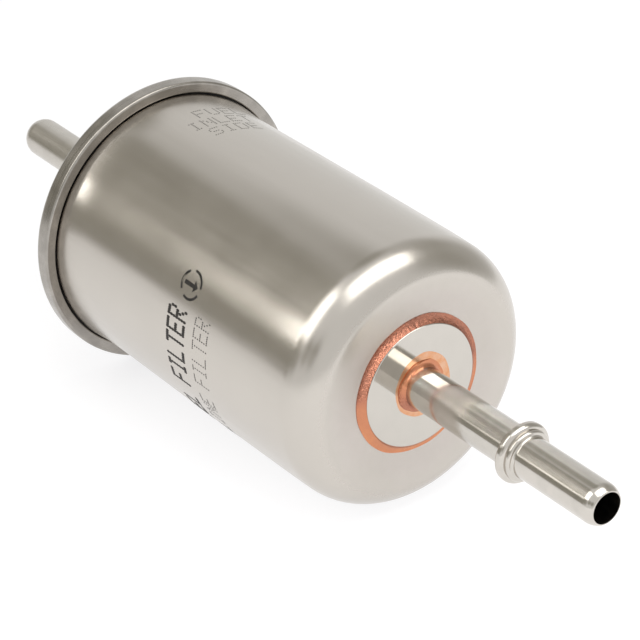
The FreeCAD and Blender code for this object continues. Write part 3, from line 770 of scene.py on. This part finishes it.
def make_marks():
    """Generic marks: two lines of print, a broken ring with a flow arrow, and a note near the rim."""
    printed("name_marking", dots_of("FUEL FILTER", top=1.4, last=72.5, row_pitch=0.82, column_pitch=0.46,
                                    dot=(0.47, 0.29)), dark_ink)
    printed("type_marking", dots_of("INLINE FILTER", top=9.4, last=71.0, row_pitch=0.68, column_pitch=0.40,
                                    dot=(0.17, 0.15)), dark_ink)
    middle = np.array([FLOW_PLACE, FLOW_TURN * CAN_RADIUS])
    starts = [FLOW_RING_START + part * 360 / FLOW_RING_PARTS for part in range(FLOW_RING_PARTS)]
    ring = [bow(middle, FLOW_RING_INSIDE, FLOW_RING_OUTSIDE, start, start + FLOW_RING_PART)
            for start in starts]
    printed("flow_marking", [*ring, arrow(middle, length=3.9, width=2.3, shaft=0.8)], dark_ink)
    lines = []
    for number, text in enumerate(("FUEL", "INLET", "SIDE")):
        lines += dots_of(text, top=-28.6 + number * 4.0, last=-28.0 + number * 2.0, row_pitch=0.46,
                         column_pitch=0.50, dot=(0.15, 0.16))
    printed("inlet_marking", lines, faint_ink)


# --- finishes of the CAD nodes that stay ----------------------------------------------------------------
# Two colours, roughness, metallic share, features per metre and relief in millimetres.
INNER_LOOKS = {
    "sealing_compound": ((0.02, 0.02, 0.022), (0.05, 0.05, 0.05), 0.6, 0, 900, 0.03),
    "pressed_steel": ((0.55, 0.54, 0.52), (0.62, 0.61, 0.58), 0.35, 1, 700, 0.01),
    "spring_steel": ((0.30, 0.29, 0.28), (0.38, 0.37, 0.35), 0.3, 1, 900, 0.01),
    "filter_paper": ((0.62, 0.50, 0.30), (0.74, 0.62, 0.40), 0.85, 0, 1800, 0.05),
    "cap_adhesive": ((0.55, 0.42, 0.16), (0.66, 0.52, 0.24), 0.4, 0, 500, 0.06),
    "grommet_rubber": ((0.015, 0.015, 0.016), (0.03, 0.03, 0.03), 0.55, 0, 1400, 0.02),
}
INNER_FINISHES = {name: plain(name, *look) for name, look in INNER_LOOKS.items()}
NODE_FINISHES = {  # all others are pressed steel
    "seam_sealant": "sealing_compound",
    "filter_media": "filter_paper",
    "closed_cap_bond": "cap_adhesive",
    "open_cap_bond": "cap_adhesive",
    "outlet_grommet": "grommet_rubber",
}
make_spring(INNER_FINISHES["spring_steel"])
make_marks()
for name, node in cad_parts.items():
    if node.hide_render:
        continue
    finish = INNER_FINISHES[NODE_FINISHES.get(name, "pressed_steel")]
    node.data.materials.clear()
    node.data.materials.append(finish)

# --- stage ----------------------------------------------------------------------------------------------
FLOOR_HALF_WIDTH = 300.0
FLOOR_GLOW_REACH = 0.12  # metres either side of the origin, between the floor's two levels of glow
FLOOR_GLOW = (0.66, 0.88)


def make_floor():
    """A pale table top that the filter lies on with its rim and its shoulder.  It glows a little, so that
    it is white where no shadow falls."""
    made = Material("floor_white", (0.32, 0.32, 0.32), 0.9, 0.0)
    made.shader.inputs["Specular IOR Level"].default_value = 0.0
    made.shader.inputs["Emission Color"].default_value = (0.985, 0.985, 1.0, 1)
    parts = made.tree.nodes.new("ShaderNodeSeparateXYZ")
    made.link(made.place, parts.inputs["Vector"])
    glow = made.ranged(parts.outputs["X"], -FLOOR_GLOW_REACH, FLOOR_GLOW_REACH, *FLOOR_GLOW)
    made.link(glow, made.shader.inputs["Emission Strength"])
    mesh = bpy.data.meshes.new("floor")
    half = FLOOR_HALF_WIDTH * MM
    mesh.from_pydata([(-half, -half, 0), (half, -half, 0), (half, half, 0), (-half, half, 0)], [],
                     [(0, 1, 2, 3)])
    mesh.materials.append(made.material)
    floor = bpy.data.objects.new("floor", mesh)
    bpy.context.scene.collection.objects.link(floor)
    lean = math.atan2(RIM_RADIUS - CAN_RADIUS, SHOULDER - RIM_BACK - RIM_WIDTH)
    floor.rotation_euler = (0, -lean, 0)
    floor.location = (0, 0, -(RIM_RADIUS + (RIM_BACK + RIM_WIDTH) * math.tan(lean)) * MM)


def direction(turn, forward):
    """A unit direction: turn is its angle round the axis in degrees, from +Z towards -Y, and forward is
    its share along the axis, from -1 to 1."""
    turn = math.radians(turn)
    across = math.sqrt(1 - forward * forward)
    return Vector((forward, -across * math.sin(turn), across * math.cos(turn)))


STUDIO_LEVEL = (0.88, 0.88, 0.87)
FLAG_COLOUR = (0.345, 0.33, 0.285)
# Darker directions of the studio: (turn, forward, degrees that are fully dark, degrees where it ends, depth)
FLAGS = [
    (50, -0.80, 27, 37, 0.95),
    (88, -0.72, 10, 20, 0.9),
    (-68, 0.10, 12, 42, 0.6),
    (-60, 0.42, 8, 30, 0.5),
    (-42, -0.25, 8, 28, 0.5),
    (-10, -0.53, 5, 19, 0.9),
    (70, 0.38, 5, 13, 0.9),
    (70, 0.05, 5, 13, 0.9),
    (75, -0.40, 6, 19, 0.9),
]


def make_world():
    """A pale studio with darker directions, and a plain white backdrop."""
    world = bpy.data.worlds.new("studio")
    world.use_nodes = True
    tree = world.node_tree
    background = tree.nodes["Background"]
    place = tree.nodes.new("ShaderNodeTexCoord").outputs["Generated"]

    def mix(share, first, second):
        node = tree.nodes.new("ShaderNodeMix")
        node.data_type = "RGBA"
        sockets = [socket for socket in node.inputs if socket.type == "RGBA"]
        tree.links.new(share, node.inputs["Factor"])
        for socket, value in zip(sockets, (first, second)):
            if isinstance(value, tuple):
                socket.default_value = (*value, 1)
            else:
                tree.links.new(value, socket)
        return next(socket for socket in node.outputs if socket.type == "RGBA")

    light_left = None
    for turn, forward, full, none, depth in FLAGS:
        dot = tree.nodes.new("ShaderNodeVectorMath")
        dot.operation = "DOT_PRODUCT"
        tree.links.new(place, dot.inputs[0])
        dot.inputs[1].default_value = direction(turn, forward)
        near = tree.nodes.new("ShaderNodeMapRange")
        near.interpolation_type = "SMOOTHSTEP"
        near.inputs["From Min"].default_value = math.cos(math.radians(none))
        near.inputs["From Max"].default_value = math.cos(math.radians(full))
        near.inputs["To Min"].default_value = 1.0
        near.inputs["To Max"].default_value = 1.0 - depth
        tree.links.new(dot.outputs["Value"], near.inputs["Value"])
        if light_left is None:
            light_left = near.outputs["Result"]
            continue
        product = tree.nodes.new("ShaderNodeMath")
        product.operation = "MULTIPLY"
        tree.links.new(light_left, product.inputs[0])
        tree.links.new(near.outputs["Result"], product.inputs[1])
        light_left = product.outputs["Value"]
    studio = mix(light_left, FLAG_COLOUR, STUDIO_LEVEL)
    seen = tree.nodes.new("ShaderNodeLightPath").outputs["Is Camera Ray"]
    tree.links.new(mix(seen, studio, (1.0, 1.0, 1.0)), background.inputs["Color"])
    bpy.context.scene.world = world


SOFTBOX_DISTANCE = 4000.0
SOFTBOX_COLOUR = (1.0, 0.985, 0.95)
SOFTBOX_GLOW = 2.2  # brightness of a softbox's face, where the white floor's is 1


def softbox(name, turn, forward, along, round_axis, roll=0, glow=SOFTBOX_GLOW, lit=(), shading=()):
    """A distant softbox, as wide along the axis and round it as two angles in degrees.  It lights all
    pieces, or only those named in lit.  Where shading names pieces, only they cast its shadows, and it is
    sampled as a light only, because a ray from a blocked surface never reaches it."""
    light = bpy.data.lights.new(name, "AREA")
    light.shape = "RECTANGLE"
    light.size = 2 * SOFTBOX_DISTANCE * math.tan(math.radians(along / 2)) * MM
    light.size_y = 2 * SOFTBOX_DISTANCE * math.tan(math.radians(round_axis / 2)) * MM
    light.energy = glow * math.pi * light.size * light.size_y
    light.color = SOFTBOX_COLOUR
    lamp = bpy.data.objects.new(name, light)
    bpy.context.scene.collection.objects.link(lamp)
    lamp.visible_camera = False
    back = direction(turn, forward)
    side = Vector((1, 0, 0)) - back * back.x
    side.normalize()
    axes = Matrix((side, back.cross(side), back)).transposed().to_4x4()
    lamp.matrix_world = (Matrix.Translation(back * SOFTBOX_DISTANCE * MM) @ axes
                         @ Matrix.Rotation(math.radians(roll), 4, "Z"))
    light.cycles.use_multiple_importance_sampling = not shading
    for role, pieces in (("receiver", lit), ("blocker", shading)):
        if pieces:
            linked = bpy.data.collections.new(f"{name}_{role}s")
            for piece in pieces:
                linked.objects.link(bpy.data.objects[piece])
            setattr(lamp.light_linking, f"{role}_collection", linked)


def make_lights():
    """Two large softboxes for all pieces, and smaller ones for stripes and glints on a few of them."""
    tube = ("outlet_spigot",)
    softbox("overhead_softbox", -5.5, 0.22, 33, 52)
    softbox("side_softbox", 44, -0.355, 27.5, 37, roll=-5)
    softbox("flare_softbox", 63, -0.62, 5, 13, glow=4.3, lit=("can_shell",))
    softbox("tube_front_softbox", -22, 0.66, 16, 46, glow=3, lit=("outlet_spigot", "outlet_disc"))
    softbox("tube_strip_light", 67, -0.60, 3, 7, glow=1.9, lit=tube)
    softbox("tube_foot_softbox", -25, -0.692, 7, 46, glow=0.8, lit=tube, shading=tube)
    softbox("tube_side_softbox", 42, -0.648, 2.2, 17, glow=1.5, lit=tube, shading=tube)
    softbox("copper_softbox", 32, 0.79, 9, 34, glow=3.5, lit=("outlet_spigot_copper",))
    softbox("copper_ring_softbox", 32, 0.80, 20, 50, glow=6, lit=("outlet_disc_copper",))


CAMERA_PLACE = (371.116, -272.897, 261.655)
CAMERA_TURN = math.radians(52.69)  # round +Z, from looking along +Y
CAMERA_DROP = math.radians(30.18)  # below the horizon
LENS = 158.23


def make_camera():
    camera = bpy.data.cameras.new("camera")
    camera.lens = LENS
    camera.sensor_width = 36
    camera.clip_start = 0.01
    camera.clip_end = 20
    holder = bpy.data.objects.new("camera", camera)
    bpy.context.scene.collection.objects.link(holder)
    holder.location = Vector(CAMERA_PLACE) * MM
    holder.rotation_euler = (math.pi / 2 - CAMERA_DROP, 0, CAMERA_TURN)
    bpy.context.scene.camera = holder


make_floor()
make_world()
make_lights()
make_camera()
bpy.context.scene.view_settings.view_transform = "Standard"
